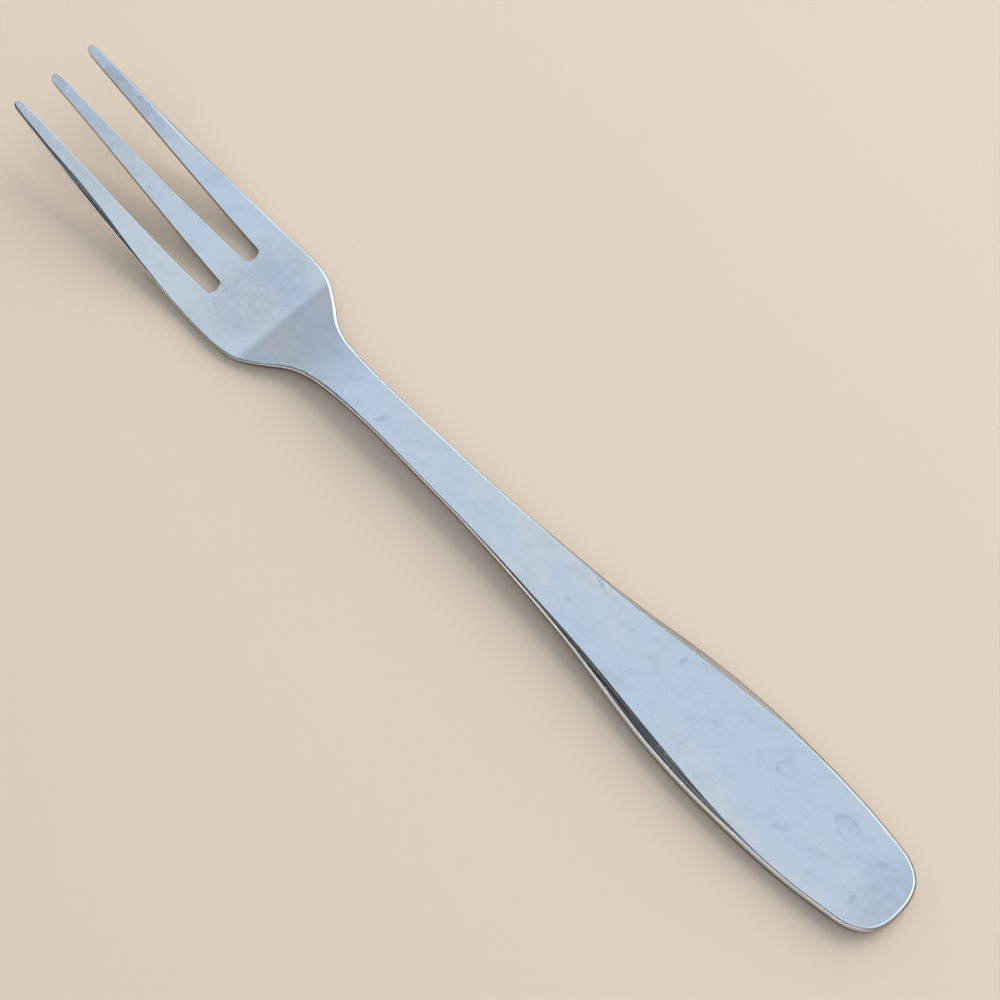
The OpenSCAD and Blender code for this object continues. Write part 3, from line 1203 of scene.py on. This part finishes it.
    def looks(self, w: Wiring) -> tuple[Socket, Socket]:
        """The colour and the roughness at each place.

        Args:
            w: the material's wiring.

        Returns:
            The two outputs, for the shader.
        """
        places = w.places()
        cloud = w.clouds(places, self.haze_mm, 4, 20)
        haze = w.add("MapRange", SMOOTH, (cloud, *self.haze_band))
        tints = w.clouds(places, self.tint_mm, 2, offset=31)
        tint = w.add("MapRange", SMOOTH, (tints, *self.tint_band))
        specks = w.clouds(places, self.speck_mm, 1, offset=7)
        specks = w.add("MapRange", SMOOTH, (specks, *self.speck_band))
        specked = w.add("MapRange", SMOOTH, (cloud, *self.speck_place_band))
        specks = w.add("Math", TIMES, (specks, specked))
        hairlines = []
        for i, turn in enumerate(self.hairline_turns):
            line = w.clouds(places, self.hairline_mm, 1, turn, 13 * i)
            hairlines.append(w.add("MapRange", SMOOTH, (line, *self.hairline_band)))
        hairline = w.add("Math", TIMES, (w.chain(GREATER, hairlines), self.hairline_roughness))
        stains_and_shade = self.stained_and_shaded(w, places)
        shares = ((haze, self.haze_share), (stains_and_shade, self.stain_and_shade_share), (specks, self.speck_share))
        dull = w.chain(PLUS, [w.add("Math", TIMES, pair) for pair in shares])
        dull = w.add("Math", LESSER, (dull, 1.0))
        colour = linear(self.colour)
        for factor, other in ((tint, self.blue), (dull, self.haze)):
            colour = w.add("Mix", COLOURS, {FACTOR: factor, FIRST: colour, SECOND: linear(other)}, MIXED)
        rough = w.add("MapRange", SMOOTH, (dull, 0, 1, self.roughness, self.haze_roughness))
        return colour, w.add("Math", PLUS, (rough, hairline))

    def material(self) -> bpy.types.Material:
        """Makes the material.

        Returns:
            The material.
        """
        made, w = new_material(self.name)
        colour, rough = self.looks(w)
        wave = w.clouds(w.places(), self.wave_mm, 1, offset=19)
        bump = w.add("Bump", None, {"Strength": 1.0, "Distance": self.wave_h * MM, "Height": wave})
        surface = w.add("BsdfPrincipled", None, {
            "Base Color": colour, "Metallic": 1.0, "Roughness": rough, "Normal": bump,
        })
        w.add("OutputMaterial", None, {"Surface": surface})
        return made


@dataclass(frozen=True)
class Zone:
    """A ground run of the edge, painted darker: where along X it starts, is full, starts to end and ends,
    and its side.

    The side is -1 or 1 for the edge at -Y or +Y alone, and 0 for both.
    """

    MIDDLE: ClassVar[Band] = (-0.5, 0.5)

    start: float
    full: float
    fade: float
    end: float
    side: int = 0
    strength: float = 1

    def mask(self, w: Wiring, places: Socket) -> Socket:
        """How much the edge is ground and painted darker at each place.

        Args:
            w: the material's wiring.
            places: the places that it reads, in millimetres.

        Returns:
            0 outside the run, up to its strength in it.
        """
        x, y, _ = w.add("SeparateXYZ", None, (places,)).node.outputs
        coming = w.add("MapRange", SMOOTH, (x, self.start, self.full, 0, self.strength))
        going = w.add("MapRange", SMOOTH, (x, self.end, self.fade))
        run = w.add("Math", TIMES, (coming, going))
        if self.side == 0:
            return run
        across = w.add("Math", TIMES, (y, float(self.side)))
        return w.add("Math", TIMES, (run, w.add("MapRange", SMOOTH, (across, *self.MIDDLE))))


@dataclass(frozen=True)
class GroundSteelWithPaintedLight:
    """Stainless steel ground along the edge with a fine belt, and only lightly polished after it.

    It gives the eye a darker, streaky band: the streaks run with the edge. The band's darker colour is a
    painted reflection of the dark surroundings and the shaded floor that the edge mirrors.
    Between its zones the edge is polished, and its colour there is painted whiter than the faces as a
    painted highlight.
    """

    name: str
    zones: Sequence[Zone]
    # Colours in the zones, darker than the faces: painted reflection of dark surroundings and shaded floor,
    # with light and dark streaks
    colour: str = "#8F9298"
    light: str = "#CDD1D6"
    dark: str = "#55575B"
    # Colour between the zones, whiter than the faces: a painted highlight
    polished: str = "#E4E9F0"
    roughness: float = 0.16
    streak_roughness: float = 0.288
    # The belt's real scratches lie about 0.02 mm apart, too fine to show, so they are drawn coarser
    streak_mm: Sequence[float] = (14, FLAT, 0.09)
    light_band: Band = (0.5, 0.66)
    dark_band: Band = (0.5, 0.38)
    rough_band: Band = (0.3, 0.7)
    # Random bright spots in the light colour: painted glints of small dents
    glint_mm: Sequence[float] = (0.4, 0.4, 0.4)
    glint_band: Band = (0.72, 0.8)
    # Place along X at which the tines start to rise, and their slope
    rise_from: float = -45
    rise_slope: float = 0.283
    # Small dents at the -Y edge of the handle, shown by painted glints in the light colour
    glint_nicks: Sequence[Mark] = (
        Mark(MarkKind.SCRATCH, 42.2, -5.85, 0.35, 0.1, 85),
        Mark(MarkKind.SCRATCH, 43.4, -5.95, 0.45, 0.11, 72),
        Mark(MarkKind.SCRATCH, 43.8, -6.0, 0.5, 0.08, 10),
        Mark(MarkKind.SCRATCH, 44.7, -5.9, 0.35, 0.1, 60),
    )

    def levelled(self, w: Wiring, places: Socket) -> Socket:
        """The places with the rise of the tines taken out, so that the streaks run along them.

        Args:
            w: the material's wiring.
            places: the places on the piece, in millimetres.

        Returns:
            The levelled places, in millimetres.
        """
        x, y, z = w.add("SeparateXYZ", None, (places,)).node.outputs
        run = w.add("Math", GREATER, (w.add("Math", MINUS, (self.rise_from, x)), 0.0))
        rise = w.add("Math", TIMES, (run, self.rise_slope))
        return w.add("CombineXYZ", None, (x, y, w.add("Math", MINUS, (z, rise))))

    def material(self) -> bpy.types.Material:
        """Makes the material.

        Returns:
            The material.
        """
        made, w = new_material(self.name)
        places = w.places()
        streak = w.clouds(self.levelled(w, places), self.streak_mm, 2)
        light = w.add("MapRange", SMOOTH, (streak, *self.light_band))
        dark = w.add("MapRange", SMOOTH, (streak, *self.dark_band))
        # Painted glints: spots and dents that take the light colour
        glint = w.clouds(places, self.glint_mm, 0, 12, 5)
        glint = w.add("MapRange", SMOOTH, (glint, *self.glint_band))
        glint = w.chain(GREATER, [glint] + [mark.mask(w, places) for mark in self.glint_nicks])
        colour = linear(self.colour)
        for factor, other in ((light, self.light), (dark, self.dark), (glint, self.light)):
            colour = w.add("Mix", COLOURS, {FACTOR: factor, FIRST: colour, SECOND: linear(other)}, MIXED)
        # The zones take the edge from the whiter painted highlight to the darker painted reflection of dark
        # surroundings and shaded floor
        ground = w.chain(GREATER, [zone.mask(w, places) for zone in self.zones])
        colours = {FACTOR: ground, FIRST: linear(self.polished), SECOND: colour}
        colour = w.add("Mix", COLOURS, colours, MIXED)
        rough = w.add("MapRange", SMOOTH, (
            streak, *self.rough_band, self.roughness, self.streak_roughness,
        ))
        surface = w.add("BsdfPrincipled", None, {
            "Base Color": colour, "Metallic": 1.0, "Roughness": rough,
        })
        w.add("OutputMaterial", None, {"Surface": surface})
        return made


@dataclass(frozen=True)
class FloorPaint:
    """Matt pale paint on a smooth board, which gives the eye a plain warm ground with no shine."""

    name: str = "matt_pale_paint"
    colour: str = "#CFBCA8"
    cloud: str = "#CBC4BC"
    roughness: float = 0.9
    cloud_mm: Sequence[float] = (60, 60, 60)
    cloud_fade: Fade = (0.3, 0.7, 0, 0.06)

    def material(self) -> bpy.types.Material:
        """Makes the material.

        Returns:
            The material.
        """
        made, w = new_material(self.name)
        cloud = w.add("MapRange", SMOOTH, (w.clouds(w.places(), self.cloud_mm, 2), *self.cloud_fade))
        colours = {FACTOR: cloud, FIRST: linear(self.colour), SECOND: linear(self.cloud)}
        colour = w.add("Mix", COLOURS, colours, MIXED)
        surface = w.add("BsdfPrincipled", None, {"Base Color": colour, "Roughness": self.roughness})
        w.add("OutputMaterial", None, {"Surface": surface})
        return made


@dataclass
class Studio:
    """The floor, the soft light and the camera. Sizes and places are in millimetres."""

    # The floor lies a hair lower than the fork's underside, and reaches past what most views show
    floor_size: float = 14000
    floor_z: float = -0.01
    # Colours of light, which may pass 1, so they are linear and not hex values
    zenith: Sequence[float] = (0.785, 0.895, 1.02, 1)
    horizon: Sequence[float] = (1.15, 1.16, 1.15, 1)
    sky_band: Band = (0.1, 0.85)
    # Fades of the sky by how far a direction leans to a side, as a share of how far it goes up
    least_up: float = 0.02
    dark_left: Fade = (0.8, 1.25, 1, 0.26)
    dull_tips: Fade = (0.5, 0.98, 1, 0.68)
    bright_right: Fade = (-1.1, -2.0, 1, 1.9)
    # Fades by height above the horizon, and how far a low strip of light reaches round the -Y side
    dim_ground: Fade = (0.02, 0.12, 0.3, 1)
    strip_height: Fade = (0.06, 0.13, 2, 0)
    strip_reach: Band = (-0.5, -0.75)
    lamp_place: Sequence[float] = (60, 620, 560)
    lamp_size: float = 700
    lamp_power: float = 5
    # Focal length in pixels of a frame that is 1000 pixels wide, and angles in degrees
    focal_px: float = 2000
    frame_px: float = 1000
    sensor_mm: float = 36
    clip_start: float = 10
    tilt: float = 22
    azimuth: float = 46.009
    distance: float = 249.426
    target: Sequence[float] = (5.969, 3.093, 0)

    def add_floor(self) -> None:
        """Adds the floor just under the fork."""
        bpy.ops.object.select_all(action="DESELECT")
        bpy.ops.mesh.primitive_plane_add(size=self.floor_size * MM, location=(0, 0, self.floor_z * MM))
        floor = bpy.context.active_object
        floor.name = "floor"
        floor.data.materials.append(FloorPaint().material())

    def light_world(self) -> None:
        """Sets the light all round the fork, as a studio's soft boxes and its dim side give it.

        It is pale blue overhead, white at the sides, brighter at +Y and duller towards the tips. The
        side at -Y is dark, but for a bright strip low over the floor.
        """
        world = bpy.data.worlds.new("soft_studio")
        bpy.context.scene.world = world
        world.use_nodes = True
        w = Wiring(world.node_tree)
        x, y, z = w.add("SeparateXYZ", None, (w.add("TexCoord", output="Generated"),)).node.outputs
        up = w.add("Math", GREATER, (z, self.least_up))
        to_left, to_tips = [
            w.add("Math", OVER, (w.add("Math", TIMES, (part, -1.0)), up)) for part in (y, x)
        ]
        high = w.add("MapRange", SMOOTH, (z, *self.sky_band))
        sky = w.add("Mix", COLOURS, {FACTOR: high, FIRST: self.horizon, SECOND: self.zenith}, MIXED)
        fades = (
            (to_left, self.dark_left), (to_tips, self.dull_tips), (to_left, self.bright_right),
            (z, self.dim_ground),
        )
        level = w.chain(TIMES, [w.add("MapRange", SMOOTH, (value, *fade)) for value, fade in fades])
        low = w.add("MapRange", SMOOTH, (z, *self.strip_height))
        strip = w.add("Math", TIMES, (low, w.add("MapRange", SMOOTH, (y, *self.strip_reach))))
        level = w.add("Math", GREATER, (level, strip))
        background = w.add("Background", None, {"Color": sky, "Strength": level})
        w.add("OutputWorld", None, {"Surface": background})

    def add_lamp(self) -> None:
        """Adds the soft lamp at the +Y side."""
        light = bpy.data.lights.new("soft_lamp", "AREA")
        light.size = self.lamp_size * MM
        light.energy = self.lamp_power
        lamp = bpy.data.objects.new("soft_lamp", light)
        lamp.location = Vector(self.lamp_place) * MM
        lamp.rotation_euler = (-lamp.location).to_track_quat("-Z", "Y").to_euler()
        # Mirrored in the steel it would show as a hard square
        lamp.visible_glossy = False
        bpy.context.scene.collection.objects.link(lamp)

    def add_camera(self) -> None:
        """Adds the camera at the photograph's angle."""
        a, tilt = math.radians(self.azimuth), math.radians(self.tilt)
        flat = Vector((-math.sin(a), math.cos(a), 0))
        look = flat * math.sin(tilt) + Vector((0, 0, -math.cos(tilt)))
        data = bpy.data.cameras.new("photo_camera")
        data.sensor_width = self.sensor_mm
        data.lens = self.sensor_mm * self.focal_px / self.frame_px
        data.clip_start = self.clip_start * MM
        camera = bpy.data.objects.new("photo_camera", data)
        camera.location = (Vector(self.target) - look * self.distance) * MM
        camera.rotation_euler = look.to_track_quat("-Z", "Y").to_euler()
        bpy.context.scene.collection.objects.link(camera)
        bpy.context.scene.camera = camera

    def set_up(self) -> None:
        """Builds the whole studio."""
        self.add_camera()
        self.add_floor()
        self.light_world()
        self.add_lamp()
        bpy.context.scene.view_settings.view_transform = "Standard"


def main() -> None:
    """Builds the studio and the fork, and ties the fork to the frame."""
    logging.basicConfig(level=logging.INFO)
    Studio().set_up()
    log.info("studio set up")
    fork = Fork()
    piece = fork.build()
    fork.dress(piece)
    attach(piece, "root")
    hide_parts("fork")


if __name__ == "__main__":
    main()
